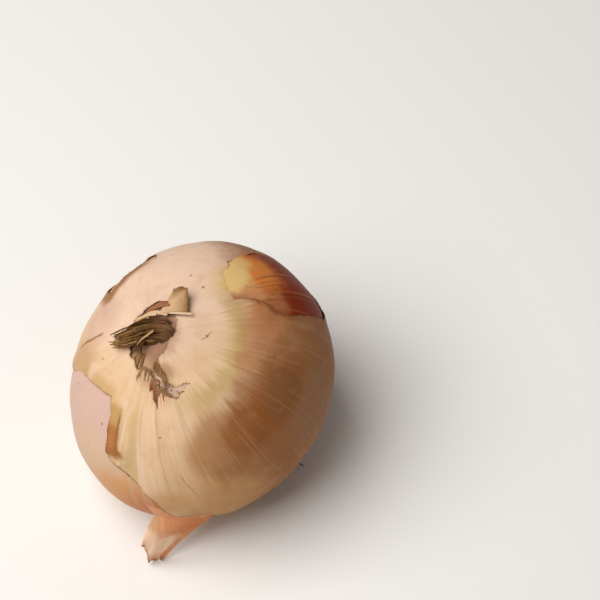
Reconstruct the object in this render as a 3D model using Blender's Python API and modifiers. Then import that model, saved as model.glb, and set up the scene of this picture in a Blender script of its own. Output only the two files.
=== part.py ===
"""A dry onion at rest on a table: bulb, torn papery outer skin, loose skin flap, dried neck and roots.

Metres, +Z up. The origin is on the table straight under the middle of the bulb, inside its flat resting spot.
Places on the bulb are given as (longitude, polar angle) in degrees, in the onion's own leaning frame: the
polar angle counts from the neck, and longitude 0 is on the side of +X.
"""
import math
import random

import bmesh
import bpy
from mathutils import Matrix, Vector

MM = 0.001
SMOOTH_ANGLE = math.radians(50)
WELD = 0.02 * MM

# Bulb
LONG_RADIUS = 43.5 * MM
SHORT_RADIUS = 39.1 * MM
OVAL_TURN = math.radians(57)
TOP_HEIGHT = 36.3 * MM
ROOT_DEPTH = 35.3 * MM
NECK_RISE = 3.6 * MM
NECK_SPREAD = 9 * MM
ROOT_DIP = 3 * MM
ROOT_DIP_SPREAD = 9 * MM
RIB_HEIGHT = 0.12 * MM
RIBS = 14
LOBE_HEIGHT = 0.35 * MM
LOBES = 3
LOBE_TURN = 0.8
ROUND_STEPS = 56
POLE_STEPS = 28

# Pose on the table
LEAN = math.radians(21)
LEAN_HEADING = math.radians(214)
CENTRE_HEIGHT = 35.15 * MM

# Outer skin
GAP = 0.3 * MM
SKIN_THICKNESS = 0.6 * MM
SKIN_TOP_ROW = math.radians(8)
SKIN_ROOT_ROW = math.radians(168)
TABLE_GAP = 0.3 * MM
TEAR_REACH = 3.0
TEAR_CORE = 0.3
TOOTH_SIZE = 0.9
TOOTH_STEPS = 2
TOOTH_POLE_LIMIT = 0.2
NECK_OPENING = [
    (0, 10), (30, 11), (66, 17), (95, 16), (125, 14), (170, 14), (207, 13), (247, 13), (265, 17),
    (275, 23), (284, 26), (303, 23), (322, 13),
]
LEFT_TEAR = [
    (197.2, 35.4), (203.6, 33.3), (218.5, 30.5), (226.2, 35.5), (229, 43.6), (231.1, 51.7), (234.7, 54.1),
    (249.3, 64.2), (256, 75.3), (260.3, 89.8), (265, 91.5), (275, 96), (281, 112), (284, 135), (286, 166),
    (150, 166), (150, 135), (158, 110), (150, 90), (163, 70), (177, 54), (188, 40),
]
RIGHT_WINDOW = [
    (26, 34.3), (38, 36), (50, 41), (56, 46.5), (55, 66.8), (50, 85), (38, 97), (25, 99), (14.9, 87.7),
    (10.3, 59), (13.2, 50.4), (21, 43.5),
]
BACK_PATCH = [
    (103, 48.7), (111, 49.5), (118, 48.6), (126, 46.5), (134, 45.3), (134, 58), (128, 72), (124, 92),
    (116, 78), (111, 66), (104, 58),
]
ROOT_OPENING = [
    (0, 163), (45, 161), (80, 164), (120, 162), (160, 160), (200, 158), (240, 160), (280, 163), (320, 160),
]
# Raised edges of the skin: longitude, polar angle, height and how far the rise spreads
LIFTS = [
    (238, 37, 1.6 * MM, 8),
    (236, 50, 1.7 * MM, 8),
    (118, 45, 1.3 * MM, 12),
    (204, 33, 0.8 * MM, 9),
]

# Loose skin flap
FLAP_THICKNESS = 0.7 * MM
FLAP_ROOT_LON = (250, 273)
FLAP_ROOT_POLAR = (84, 100)
FLAP_LEAVE_POLAR = (91, 104)
FLAP_CLING = 0.2
# The ends of its tip line on the table's frame, in millimetres
FLAP_TIP_LEFT = Vector((-17.8, -44.2, 0.4))
FLAP_TIP_RIGHT = Vector((-12.2, -43.0, 0.4))
# How its sides bulge half way down, in millimetres
FLAP_BULGE_LEFT = Vector((-1.8, -2.2, 1.5))
FLAP_BULGE_RIGHT = Vector((-0.3, 0.3, 0.4))
FLAP_WAVE = 0.6 * MM
FLAP_ACROSS = 12
FLAP_DOWN = 12
FLAP_STEP = 0.44
FLAP_STEP_SIDES = (0.08, 0.27)
FLAP_NOTCH = 0.05
FLAP_NOTCHES = 2
FLAP_GAP = 0.45 * MM

# Dried neck, in millimetres in the onion's own frame
NECK_CORE_CENTRE = (-0.6, 0.9, 39.6)
NECK_CORE_RADII = (5.0, 4.1, 3.3)
NECK_STRANDS = [
    ((3.2, 2.2, 40.2), (-3.5, 2.6, 42.6), (-9.5, 2.2, 40.9), (-15.9, 1.2, 37.4), 1.0),
    ((2.4, 0.8, 40.4), (-3.0, 0.9, 42.9), (-9.0, 0.2, 41.1), (-14.8, -0.6, 38.0), 0.9),
    ((2.0, 3.0, 40.0), (-3.6, 4.0, 41.8), (-8.6, 4.3, 40.4), (-13.0, 4.1, 38.2), 0.9),
    ((1.0, 3.6, 39.8), (-4.0, 5.0, 40.8), (-8.4, 5.6, 39.6), (-11.2, 5.4, 38.0), 0.75),
    ((2.8, -0.6, 40.0), (-2.0, -0.8, 42.4), (-7.4, -1.6, 41.0), (-12.6, -2.2, 38.3), 0.8),
    ((1.6, -1.4, 39.8), (-1.6, -2.4, 41.2), (-4.4, -3.8, 40.2), (-6.6, -5.2, 38.6), 0.8),
    ((3.8, 1.6, 40.0), (0.2, 1.8, 43.2), (-4.6, 1.6, 43.2), (-8.8, 1.2, 41.9), 0.8),
    ((2.0, 2.0, 40.2), (-1.0, 3.4, 42.9), (-5.0, 3.6, 42.3), (-8.2, 3.2, 41.2), 0.7),
    ((0.6, -0.6, 40.0), (-3.4, -1.6, 41.6), (-7.4, -3.4, 40.0), (-10.2, -4.4, 37.9), 0.65),
    ((0.0, 3.0, 39.6), (0.2, 6.0, 40.0), (-0.8, 8.6, 39.0), (-3.0, 10.6, 38.3), 0.8),
    ((3.0, 0.6, 39.6), (4.6, -0.2, 39.9), (5.4, -1.8, 39.3), (5.2, -3.4, 38.6), 0.7),
]
STRAND_STEPS = 3
STRAND_SIDES_LEVEL = 1
STRAND_TIP = 0.45
COLLAR_OUTLINE = [
    (1.0, 2.0, 40.6), (7.6, 5.6, 39.2), (9.2, 8.4, 38.6), (8.0, 13.0, 38.3), (4.4, 9.8, 39.3),
    (1.2, 6.0, 40.1),
]
COLLAR_THICKNESS = 0.8 * MM

# Roots
PLATE_RADIUS = 5.6 * MM
PLATE_TOP = -31.6 * MM
PLATE_BOTTOM = -34.0 * MM
PLATE_SIDES = 20
PLATE_TAPER = 0.85
ROOT_COUNT = 34
ROOT_RADIUS = 0.42 * MM
ROOT_STEPS = 2
ROOT_SIDES_LEVEL = 0
ROOT_TIP = 0.7
ROOT_SUNK = 1.0 * MM
ROOT_DROP = 1.5 * MM
ROOT_SINK = 2.5 * MM
ROOT_REACH = 4.5 * MM
ROOT_REACH_BACK = 8.5 * MM
ROOT_ROOM_HEADING = math.radians(34)
ROOT_LOWEST = 0.9 * MM
ROOT_RINGS = (0.35, 0.55, 0.75)
ROOT_VARIATION = (0.7, 1.1)
ROOT_STRAY = 0.3
# The long root's course on the table's frame, in millimetres
LONG_ROOT = [(11.5, 6.0, 2.2), (17, 1.5, 1.1), (24.5, -5.2, 1.0), (31.2, -9.6, 1.2)]
LONG_ROOT_STEPS = 5
SEED = 12


def between(ends, share):
    """The value that lies the share of the way from the first end to the second."""
    return ends[0] + (ends[1] - ends[0]) * share


def onion_matrix():
    """The onion's own frame: its axis leans towards LEAN_HEADING, and its middle stands over the origin."""
    hinge = Vector((-math.sin(LEAN_HEADING), math.cos(LEAN_HEADING), 0))
    return Matrix.Translation((0, 0, CENTRE_HEIGHT)) @ Matrix.Rotation(LEAN, 4, hinge)


def bulb_point(lon, polar):
    """A point of the bulb's surface in the onion's own frame."""
    across = math.sin(polar)
    along = math.cos(polar)
    lobe = LOBE_HEIGHT * math.cos(LOBES * lon + LOBE_TURN) + RIB_HEIGHT * math.cos(RIBS * lon)
    turned = lon - OVAL_TURN
    oval = Vector(((LONG_RADIUS + lobe) * math.cos(turned), (SHORT_RADIUS + lobe) * math.sin(turned)))
    oval *= across
    x = oval.x * math.cos(OVAL_TURN) - oval.y * math.sin(OVAL_TURN)
    y = oval.x * math.sin(OVAL_TURN) + oval.y * math.cos(OVAL_TURN)
    out = oval.length
    if along > 0:
        z = TOP_HEIGHT * along + NECK_RISE * math.exp(-(out / NECK_SPREAD) ** 2)
    else:
        z = ROOT_DEPTH * along + ROOT_DIP * math.exp(-(out / ROOT_DIP_SPREAD) ** 2)
    return Vector((x, y, z))


def lift(lon, polar):
    """How far the outer skin stands off the bulb there, beside its torn edges."""
    total = 0.0
    for lift_lon, lift_polar, height, spread in LIFTS:
        turn = (math.degrees(lon) - lift_lon + 180) % 360 - 180
        away = math.hypot(turn * math.sin(polar), math.degrees(polar) - lift_polar)
        total += height * math.exp(-(away / spread) ** 2)
    return total


def wrapped_shell(offset, lifted):
    """A bmesh of the whole bulb's surface, every vertex moved out along its normal by the offset."""
    bm = bmesh.new()
    bmesh.ops.create_uvsphere(bm, u_segments=ROUND_STEPS, v_segments=POLE_STEPS, radius=1.0)
    angles = []
    for vert in bm.verts:
        lon = math.atan2(vert.co.y, vert.co.x)
        polar = math.acos(max(-1.0, min(1.0, vert.co.z)))
        angles.append((lon, polar))
        vert.co = bulb_point(lon, polar)
    bm.normal_update()
    moved = []
    for vert, (lon, polar) in zip(bm.verts, angles):
        rise = lift(lon, polar) if lifted else 0.0
        moved.append(vert.co + vert.normal * (offset + rise))
    for vert, place in zip(bm.verts, moved):
        vert.co = place
    return bm


def material(name, color, roughness):
    """A plain finish for one piece."""
    finish = bpy.data.materials.new(name)
    finish.use_nodes = True
    shader = finish.node_tree.nodes["Principled BSDF"]
    shader.inputs["Base Color"].default_value = (*color, 1.0)
    shader.inputs["Roughness"].default_value = roughness
    shader.inputs["Metallic"].default_value = 0.0
    return finish


def mesh_object(name, bm, collection, parent=None):
    """An object from a bmesh, shaded smooth, in the collection and frame given."""
    mesh = bpy.data.meshes.new(name)
    bm.to_mesh(mesh)
    bm.free()
    mesh.shade_smooth()
    mesh.set_sharp_from_angle(angle=SMOOTH_ANGLE)
    piece = bpy.data.objects.new(name, mesh)
    collection.objects.link(piece)
    piece.parent = parent
    return piece


def cutter_object(name, bm, collection, parent=None):
    """A hidden tool solid."""
    piece = mesh_object(name, bm, collection, parent)
    piece.hide_render = True
    piece.display_type = "WIRE"
    return piece


def cut(piece, tool, crossing_itself=False):
    """Take the tool's solid out of the piece."""
    boolean = piece.modifiers.new("cut " + tool.name, "BOOLEAN")
    boolean.operation = "DIFFERENCE"
    boolean.solver = "EXACT"
    boolean.use_self = crossing_itself
    boolean.object = tool


def apply_modifiers(piece):
    """Give the piece the mesh that its modifiers make."""
    bpy.context.view_layer.update()
    evaluated = piece.evaluated_get(bpy.context.evaluated_depsgraph_get())
    mesh = bpy.data.meshes.new_from_object(evaluated)
    piece.modifiers.clear()
    piece.data = mesh


def ragged(outline, draw):
    """The outline's corners with small torn teeth between them."""
    points = []
    for (lon, polar), (next_lon, next_polar) in zip(outline, outline[1:] + outline[:1]):
        turn = (next_lon - lon + 180) % 360 - 180
        points.append((lon, polar))
        for step in range(1, TOOTH_STEPS + 1):
            share = step / (TOOTH_STEPS + 1)
            tooth = draw.uniform(-TOOTH_SIZE, TOOTH_SIZE)
            slide = tooth / max(TOOTH_POLE_LIMIT, math.sin(math.radians(polar)))
            points.append((lon + turn * share + slide, polar + (next_polar - polar) * share + tooth))
    return points


def tear_cutter(name, outline, draw, collection, parent):
    """A wedge from inside the bulb out through its surface, whose section is the torn outline."""
    bm = bmesh.new()
    rim = []
    for lon, polar in ragged(outline, draw):
        place = bulb_point(math.radians(lon), math.radians(polar))
        rim.append(bm.verts.new(place * TEAR_REACH))
    face = bm.faces.new(rim)
    made = bmesh.ops.extrude_face_region(bm, geom=[face])
    inner = [item for item in made["geom"] if isinstance(item, bmesh.types.BMVert)]
    bmesh.ops.scale(bm, vec=(TEAR_CORE / TEAR_REACH,) * 3, verts=inner)
    caps = [face for face in bm.faces if len(face.verts) == len(rim)]
    bmesh.ops.poke(bm, faces=caps)
    bmesh.ops.recalc_face_normals(bm, faces=bm.faces)
    return cutter_object(name, bm, collection, parent)


def table_cutter(collection):
    """A block from below the table up to the skin's clearance over it."""
    bm = bmesh.new()
    bmesh.ops.create_cube(bm, size=4 * LONG_RADIUS)
    bmesh.ops.translate(bm, vec=(0, 0, TABLE_GAP - 2 * LONG_RADIUS), verts=bm.verts)
    return cutter_object("table_clearance", bm, collection)


def make_bulb(parts, frame):
    """The bulb with its short neck and root dip, cut level where it rests."""
    bm = wrapped_shell(0.0, False)
    to_frame = onion_matrix().inverted()
    place = to_frame @ Vector((0, 0, 0))
    upwards = to_frame.to_3x3() @ Vector((0, 0, 1))
    geometry = bm.verts[:] + bm.edges[:] + bm.faces[:]
    made = bmesh.ops.bisect_plane(bm, geom=geometry, plane_co=place, plane_no=upwards, clear_inner=True)
    rim = [item for item in made["geom_cut"] if isinstance(item, bmesh.types.BMEdge)]
    bmesh.ops.edgeloop_fill(bm, edges=rim)
    bmesh.ops.recalc_face_normals(bm, faces=bm.faces)
    bulb = mesh_object("bulb", bm, parts, frame)
    bulb.data.materials.append(material("inner_skin", (0.78, 0.52, 0.36), 0.45))
    return bulb


def make_outer_skin(parts, tools, frame, draw):
    """The dry outer skin: a thin wall round the bulb, torn open in five places."""
    bm = wrapped_shell(GAP, True)
    ends = []
    for face in bm.faces:
        polar = face.calc_center_median().angle(Vector((0, 0, 1)))
        if polar < SKIN_TOP_ROW or polar > SKIN_ROOT_ROW:
            ends.append(face)
    bmesh.ops.delete(bm, geom=ends, context="FACES")
    skin = mesh_object("outer_skin", bm, parts, frame)
    wall = skin.modifiers.new("thickness", "SOLIDIFY")
    wall.thickness = SKIN_THICKNESS
    wall.offset = 1.0
    tears = {
        "neck_opening": NECK_OPENING, "left_tear": LEFT_TEAR, "right_window": RIGHT_WINDOW,
        "back_patch": BACK_PATCH, "root_opening": ROOT_OPENING,
    }
    for name, outline in tears.items():
        cut(skin, tear_cutter(name, outline, draw, tools, frame))
    cut(skin, table_cutter(tools))
    skin.data.materials.append(material("papery_skin", (0.80, 0.55, 0.36), 0.5))
    return skin


def flap_point(side, down):
    """A point of the flap on the table's frame: side runs left to right, down from its root to its tip."""
    lon = math.radians(between(FLAP_ROOT_LON, side))
    cling = min(1.0, down / FLAP_CLING)
    polar = math.radians(between((between(FLAP_ROOT_POLAR, side), between(FLAP_LEAVE_POLAR, side)), cling))
    hold = bulb_point(lon, polar)
    hold = onion_matrix() @ (hold + hold.normalized() * FLAP_GAP)
    tip = FLAP_TIP_LEFT.lerp(FLAP_TIP_RIGHT, side) * MM
    step_from, step_to = FLAP_STEP_SIDES
    step = min(1.0, max(0.0, (step_to - side) / (step_to - step_from)))
    notch = 0.5 - 0.5 * math.cos(2 * math.pi * FLAP_NOTCHES * side)
    ragged_end = 1 - FLAP_STEP * step - FLAP_NOTCH * notch
    share = max(0.0, down - FLAP_CLING) / (1 - FLAP_CLING) * ragged_end
    belly = math.sin(math.pi * share)
    bulge = FLAP_BULGE_LEFT.lerp(FLAP_BULGE_RIGHT, side) * MM
    outward = Vector((hold.x, hold.y, 0)).normalized()
    wave = outward * FLAP_WAVE * math.sin(2 * math.pi * side)
    return hold.lerp(tip, share) + (bulge + wave) * belly


def make_flap(parts):
    """The tongue of skin that hangs from low on the front down to the table."""
    bm = bmesh.new()
    bmesh.ops.create_grid(bm, x_segments=FLAP_ACROSS, y_segments=FLAP_DOWN, size=0.5)
    for vert in bm.verts:
        vert.co = flap_point(vert.co.x + 0.5, 0.5 - vert.co.y)
    flap = mesh_object("skin_flap", bm, parts)
    wall = flap.modifiers.new("thickness", "SOLIDIFY")
    wall.thickness = FLAP_THICKNESS
    wall.offset = 1.0
    flap.data.materials.append(material("orange_skin", (0.55, 0.24, 0.12), 0.5))
    return flap


def smooth_path(points, steps):
    """Points along a smooth curve through the points given."""
    ends = [points[0] * 2 - points[1]] + points + [points[-1] * 2 - points[-2]]
    path = []
    for before, start, end, after in zip(ends, ends[1:], ends[2:], ends[3:]):
        for step in range(steps):
            t = step / steps
            curve = (start * 2 + (end - before) * t + (before * 2 - start * 5 + end * 4 - after) * t * t
                     + (start * 3 - before - end * 3 + after) * t * t * t)
            path.append(curve / 2)
    path.append(points[-1])
    return path


def tube(name, path, radii, sides_level, collection):
    """A closed tube mesh along the path, in the path's own frame."""
    curve = bpy.data.curves.new(name, "CURVE")
    curve.dimensions = "3D"
    curve.bevel_depth = 1.0
    curve.bevel_resolution = sides_level
    curve.use_fill_caps = True
    line = curve.splines.new("POLY")
    line.points.add(len(path) - 1)
    for point, place, radius in zip(line.points, path, radii):
        point.co = (*place, 1.0)
        point.radius = radius
    holder = bpy.data.objects.new(name, curve)
    collection.objects.link(holder)
    bpy.context.view_layer.update()
    mesh = bpy.data.meshes.new_from_object(holder.evaluated_get(bpy.context.evaluated_depsgraph_get()))
    bpy.data.objects.remove(holder)
    bm = bmesh.new()
    bm.from_mesh(mesh)
    bmesh.ops.remove_doubles(bm, verts=bm.verts, dist=WELD)
    bmesh.ops.recalc_face_normals(bm, faces=bm.faces)
    return mesh_object(name, bm, collection)


def fuse(piece, collection):
    """Join every solid of the collection to the piece as one body, and drop the loose solids."""
    boolean = piece.modifiers.new("fuse", "BOOLEAN")
    boolean.operation = "UNION"
    boolean.solver = "EXACT"
    boolean.operand_type = "COLLECTION"
    boolean.collection = collection
    apply_modifiers(piece)
    for loose in list(collection.objects):
        bpy.data.objects.remove(loose)


def make_neck(parts, tools, bunch, frame):
    """The dried neck: leaf strands fused to a core that sits round the top of the bulb, bent to the left."""
    bm = bmesh.new()
    bmesh.ops.create_icosphere(bm, subdivisions=2, radius=1.0)
    bmesh.ops.scale(bm, vec=Vector(NECK_CORE_RADII) * MM, verts=bm.verts)
    bmesh.ops.translate(bm, vec=Vector(NECK_CORE_CENTRE) * MM, verts=bm.verts)
    neck = mesh_object("dried_neck", bm, parts)
    for number, (*points, width) in enumerate(NECK_STRANDS):
        path = smooth_path([Vector(point) * MM for point in points], STRAND_STEPS)
        last = len(path) - 1
        radii = [width * MM * (1 - (1 - STRAND_TIP) * (step / last) ** 2) for step in range(last + 1)]
        tube(f"strand_{number}", path, radii, STRAND_SIDES_LEVEL, bunch)
    bm = bmesh.new()
    collar = bm.faces.new([bm.verts.new(Vector(corner) * MM) for corner in COLLAR_OUTLINE])
    bmesh.ops.poke(bm, faces=[collar])
    bmesh.ops.solidify(bm, geom=bm.faces[:], thickness=COLLAR_THICKNESS)
    bmesh.ops.recalc_face_normals(bm, faces=bm.faces)
    mesh_object("collar", bm, bunch)
    fuse(neck, bunch)
    seat = cutter_object("neck_seat", wrapped_shell(GAP, False), tools)
    cut(neck, seat, crossing_itself=True)
    apply_modifiers(neck)
    neck.parent = frame
    seat.parent = frame
    neck.data.materials.append(material("dry_leaf", (0.15, 0.07, 0.025), 0.75))
    return neck


def root_path(lon, start_out, length, sink):
    """A root from the plate that bends outwards under the bulb and stays over the table."""
    ways = Vector((math.cos(lon), math.sin(lon), 0))
    start = ways * start_out + Vector((0, 0, PLATE_BOTTOM + ROOT_SUNK))
    knee = ways * (start_out + length / 3) + Vector((0, 0, PLATE_BOTTOM - ROOT_DROP - sink / 3))
    end = ways * (start_out + length) + Vector((0, 0, PLATE_BOTTOM - ROOT_DROP - sink))
    above = onion_matrix()
    below = above.inverted()
    path = []
    for place in smooth_path([start, knee, end], ROOT_STEPS):
        world = above @ place
        world.z = max(world.z, ROOT_LOWEST)
        path.append(below @ world)
    return path


def make_roots(parts, tools, bunch, frame, draw):
    """The root plate in the bulb's dip with its dried roots, one of them long and straying to the right."""
    bm = bmesh.new()
    depth = PLATE_TOP - PLATE_BOTTOM
    bmesh.ops.create_cone(
        bm, cap_ends=True, segments=PLATE_SIDES, radius1=PLATE_TAPER * PLATE_RADIUS, radius2=PLATE_RADIUS,
        depth=depth,
    )
    bmesh.ops.translate(bm, vec=(0, 0, (PLATE_TOP + PLATE_BOTTOM) / 2), verts=bm.verts)
    roots = mesh_object("roots", bm, parts)
    for number in range(ROOT_COUNT):
        lon = 2 * math.pi * (number + draw.uniform(-ROOT_STRAY, ROOT_STRAY)) / ROOT_COUNT
        room = 0.5 + 0.5 * math.cos(lon - ROOT_ROOM_HEADING)
        start_out = PLATE_RADIUS * ROOT_RINGS[number % len(ROOT_RINGS)]
        length = between((ROOT_REACH, ROOT_REACH_BACK), room) * draw.uniform(*ROOT_VARIATION)
        path = root_path(lon, start_out, length, draw.uniform(0, ROOT_SINK))
        last = len(path) - 1
        radii = [ROOT_RADIUS * (1 - (1 - ROOT_TIP) * step / last) for step in range(last + 1)]
        tube(f"root_{number}", path, radii, ROOT_SIDES_LEVEL, bunch)
    below = onion_matrix().inverted()
    course = smooth_path([Vector(point) * MM for point in LONG_ROOT], LONG_ROOT_STEPS)
    path = [below @ place for place in course]
    tube("long_root", path, [ROOT_RADIUS] * len(path), ROOT_SIDES_LEVEL, bunch)
    fuse(roots, bunch)
    seat = cutter_object("root_seat", wrapped_shell(GAP, False), tools)
    cut(roots, seat, crossing_itself=True)
    apply_modifiers(roots)
    roots.parent = frame
    seat.parent = frame
    roots.data.materials.append(material("dry_root", (0.36, 0.24, 0.13), 0.8))
    return roots


def make_onion():
    """Empty the scene, then build every piece in its place."""
    for old in list(bpy.data.objects):
        bpy.data.objects.remove(old)
    parts = bpy.data.collections.new("onion")
    tools = bpy.data.collections.new("cutters")
    bunch = bpy.data.collections.new("bunch")
    for collection in (parts, tools, bunch):
        bpy.context.scene.collection.children.link(collection)
    frame = bpy.data.objects.new("onion_axis", None)
    parts.objects.link(frame)
    frame.matrix_world = onion_matrix()
    draw = random.Random(SEED)
    make_bulb(parts, frame)
    make_outer_skin(parts, tools, frame, draw)
    make_flap(parts)
    make_neck(parts, tools, bunch, frame)
    make_roots(parts, tools, bunch, frame, draw)
    bpy.context.view_layer.update()


make_onion()
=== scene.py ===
"""The looks of the onion: skins, dried neck and roots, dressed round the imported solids."""
import math
import random

import bmesh
import bpy
import numpy as np
from mathutils import Matrix, Vector, noise


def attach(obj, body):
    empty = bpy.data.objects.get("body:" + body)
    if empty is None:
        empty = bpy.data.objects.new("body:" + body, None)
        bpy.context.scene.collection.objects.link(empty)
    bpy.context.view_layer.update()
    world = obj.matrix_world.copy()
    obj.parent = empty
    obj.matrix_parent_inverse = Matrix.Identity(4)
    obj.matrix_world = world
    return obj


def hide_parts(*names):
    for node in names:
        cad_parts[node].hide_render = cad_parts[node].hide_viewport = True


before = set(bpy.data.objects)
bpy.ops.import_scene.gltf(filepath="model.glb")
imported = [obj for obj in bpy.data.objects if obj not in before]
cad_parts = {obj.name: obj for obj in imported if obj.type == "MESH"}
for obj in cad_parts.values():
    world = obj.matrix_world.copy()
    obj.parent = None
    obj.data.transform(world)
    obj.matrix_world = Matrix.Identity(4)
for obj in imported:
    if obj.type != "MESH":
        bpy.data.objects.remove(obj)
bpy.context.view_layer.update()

# The table and the studio: a plain pale table, one large soft light high on the left and a weak pale room,
# seen from above the front at the angle of the photograph. None of it is part of the onion.
MM = 0.001
CENTRE_HEIGHT = 35.15 * MM
VIEW_ELEVATION = math.radians(55)
VIEW_DISTANCE = 800 * MM
VIEW_WIDTH = 182.6 * MM
VIEW_RIGHT = 30.1 * MM
VIEW_UP = 24.5 * MM
TABLE_SIZE = 8.0
TABLE_COLOR = (0.91, 0.91, 0.905, 1)
TABLE_MOTTLE = 0.985
ROOM_COLOR = (1.0, 0.95, 0.90, 1)
ROOM_STRENGTH = 0.18
KEY_PLACE = Vector((-0.44, -0.16, 0.88))
KEY_SIZE = 0.9
KEY_POWER = 11.6
KEY_COLOR = (1.0, 0.97, 0.93)


class Wire:
    """A socket of the material being made. Sums of wires add Math nodes to its tree."""

    def __init__(self, tree, socket):
        self.tree = tree
        self.socket = socket

    def node(self, kind, settings, feeds, output=0):
        """Add a node: its settings first, then the values or wires of its sockets."""
        made = self.tree.nodes.new(kind)
        for name, value in settings.items():
            if name == "stops":
                ramp = made.color_ramp
                while len(ramp.elements) < len(value):
                    ramp.elements.new(0.5)
                for element, (place, color) in zip(ramp.elements, value):
                    element.position = place
                    element.color = color
            else:
                setattr(made, name, value)
        for key, value in feeds.items():
            if isinstance(value, Wire):
                self.tree.links.new(value.socket, made.inputs[key])
            else:
                made.inputs[key].default_value = value
        return Wire(self.tree, made.outputs[output])

    def math(self, operation, *others):
        return self.node("ShaderNodeMath", {"operation": operation}, dict(enumerate((self, *others))))

    def vector(self, operation, *others, output=0):
        """Vector maths on this vector; a distance or a dot product comes out of output 1."""
        feeds = dict(enumerate((self, *others)))
        return self.node("ShaderNodeVectorMath", {"operation": operation}, feeds, output)

    def scaled(self, factor):
        return self.node("ShaderNodeVectorMath", {"operation": "SCALE"}, {0: self, "Scale": factor})

    def part(self, axis):
        """This vector's x, y or z, for 0, 1 or 2."""
        return self.node("ShaderNodeSeparateXYZ", {}, {0: self}, output=axis)

    def attribute(self, name):
        """A value that the mesh carries at its points."""
        return self.node("ShaderNodeAttribute", {"attribute_name": name}, {}, output="Fac")

    def __add__(self, other):
        return self.math("ADD", other)

    __radd__ = __add__

    def __sub__(self, other):
        return self.math("SUBTRACT", other)

    def __rsub__(self, other):
        return self.node("ShaderNodeMath", {"operation": "SUBTRACT"}, {0: other, 1: self})

    def __mul__(self, other):
        return self.math("MULTIPLY", other)

    __rmul__ = __mul__

    def __truediv__(self, other):
        return self.math("DIVIDE", other)

    def rise(self, low, high):
        """0 below low, 1 above high, and a smooth step between; low may be the larger."""
        settings = {"interpolation_type": "SMOOTHSTEP"}
        return self.node("ShaderNodeMapRange", settings, {"Value": self, "From Min": low, "From Max": high})

    def mix(self, under, over):
        """The under colour where this mask is 0, and the over colour where it is 1."""
        return self.node("ShaderNodeMix", {"data_type": "RGBA"}, {0: self, 6: under, 7: over}, output=2)

    def grain(self, scale, detail=2.0, rough=0.5, output=0):
        """Noise read at this vector: a number, or three for output 1."""
        feeds = {"Vector": self, "Scale": scale, "Detail": detail, "Roughness": rough}
        return self.node("ShaderNodeTexNoise", {}, feeds, output)


def start_finish(name):
    """A new material: its own object, its shader, and the object coordinates as a wire."""
    finish = bpy.data.materials.new(name)
    finish.use_nodes = True
    tree = finish.node_tree
    shader = tree.nodes["Principled BSDF"]
    coordinates = tree.nodes.new("ShaderNodeTexCoord")
    return finish, shader, Wire(tree, coordinates.outputs["Object"])


def put_in_scene(name, data):
    """A new object of the scene, made from its mesh, camera or light."""
    made = bpy.data.objects.new(name, data)
    bpy.context.scene.collection.objects.link(made)
    return made


table_mesh = bpy.data.meshes.new("table")
bm = bmesh.new()
bmesh.ops.create_grid(bm, x_segments=1, y_segments=1, size=TABLE_SIZE / 2)
bm.to_mesh(table_mesh)
bm.free()
table = put_in_scene("table", table_mesh)
finish, shader, place = start_finish("table_top")
shader.inputs["Roughness"].default_value = 0.9
mottled = tuple(TABLE_MOTTLE * part for part in TABLE_COLOR[:3]) + (1,)
color = place.grain(3.0).rise(0.3, 0.7).mix(TABLE_COLOR, mottled)
place.tree.links.new(color.socket, shader.inputs["Base Color"])
table_mesh.materials.append(finish)

view_right = Vector((1, 0, 0))
view_up = Vector((0, math.sin(VIEW_ELEVATION), math.cos(VIEW_ELEVATION)))
view_back = Vector((0, -math.cos(VIEW_ELEVATION), math.sin(VIEW_ELEVATION)))
camera = put_in_scene("camera", bpy.data.cameras.new("camera"))
camera.data.lens = camera.data.sensor_width * VIEW_DISTANCE / VIEW_WIDTH
camera.location = (
    Vector((0, 0, CENTRE_HEIGHT)) + view_right * VIEW_RIGHT + view_up * VIEW_UP + view_back * VIEW_DISTANCE
)
camera.rotation_euler = Matrix((view_right, view_up, view_back)).transposed().to_euler()
bpy.context.scene.camera = camera

key = put_in_scene("key_light", bpy.data.lights.new("key_light", "AREA"))
key.data.size = KEY_SIZE
key.data.energy = KEY_POWER
key.data.color = KEY_COLOR
key.location = KEY_PLACE
key.rotation_euler = (KEY_PLACE - Vector((0, 0, CENTRE_HEIGHT))).to_track_quat("Z", "Y").to_euler()

room = bpy.data.worlds.new("room")
bpy.context.scene.world = room
room.use_nodes = True
background = room.node_tree.nodes["Background"]
background.inputs["Color"].default_value = ROOM_COLOR
background.inputs["Strength"].default_value = ROOM_STRENGTH
bpy.context.scene.view_settings.view_transform = "Standard"

# The bulb: fleshy scales under a whole inner skin, grown as one piece with a short neck above and a dip
# below for the root plate. It leans to the left and is pressed flat where it rests. The skin is pinkish
# white where the outer skin has long covered it and orange where it has dried in the open.
LONG_RADIUS = 43.5 * MM
SHORT_RADIUS = 39.1 * MM
OVAL_TURN = math.radians(57)
TOP_HEIGHT = 36.3 * MM
ROOT_DEPTH = 35.3 * MM
NECK_RISE = 3.6 * MM
NECK_SPREAD = 9 * MM
ROOT_DIP = 3 * MM
ROOT_DIP_SPREAD = 9 * MM
RIB_HEIGHT = 0.12 * MM
RIBS = 14
LOBE_HEIGHT = 0.35 * MM
LOBES = 3
LOBE_TURN = 0.8
LEAN = math.radians(21)
LEAN_HEADING = math.radians(214)
BULB_ROUND = 288
BULB_POLES = 150
VEIN_HEIGHT = 0.06 * MM
VEIN_COUNT = 9.0
VEIN_RUN = 0.8
VEIN_WAVER = 0.05
DENT_DEPTH = 0.12 * MM
DENT_SCALE = 2.3
MEAN_RADIUS = 41.3

hinge = Vector((-math.sin(LEAN_HEADING), math.cos(LEAN_HEADING), 0))
onion_matrix = Matrix.Translation((0, 0, CENTRE_HEIGHT)) @ Matrix.Rotation(LEAN, 4, hinge)
onion_inverse = onion_matrix.inverted()


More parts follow.
